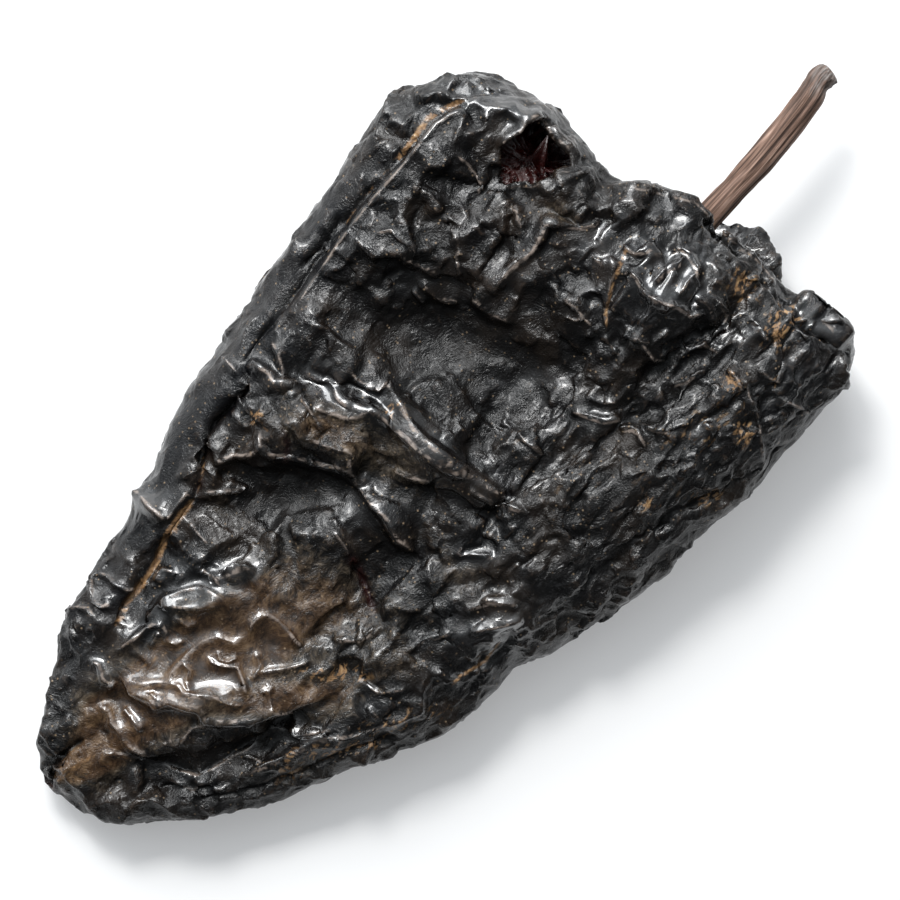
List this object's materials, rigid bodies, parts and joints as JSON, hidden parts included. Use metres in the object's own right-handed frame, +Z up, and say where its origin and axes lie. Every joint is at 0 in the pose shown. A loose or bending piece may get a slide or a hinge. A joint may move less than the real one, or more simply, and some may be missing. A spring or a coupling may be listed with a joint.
{
  "type": "ancho chili",
  "caption": "Dried ancho chili lying flat: a flattened, hollow, heart-shaped pod with folded and wrinkled skin, a torn hole near the crown, and a woody stem.",
  "frame": {"origin": "on the surface that the chili lies on, under the middle of its bounding box", "axes": "+X from the pod's tip towards the stem, +Y across the pod towards its left edge seen from above with the stem ahead, +Z up from the surface it lies on"},
  "size_m": [0.1536, 0.078, 0.0244],
  "materials": {
    "dried_skin": "gloss",
    "calyx_wood": "matte",
    "stem_wood": "matte"
  },
  "bodies": {
    "root": {"pod": "dried_skin", "calyx": "calyx_wood", "stem": "stem_wood"}
  },
  "joints": []
}
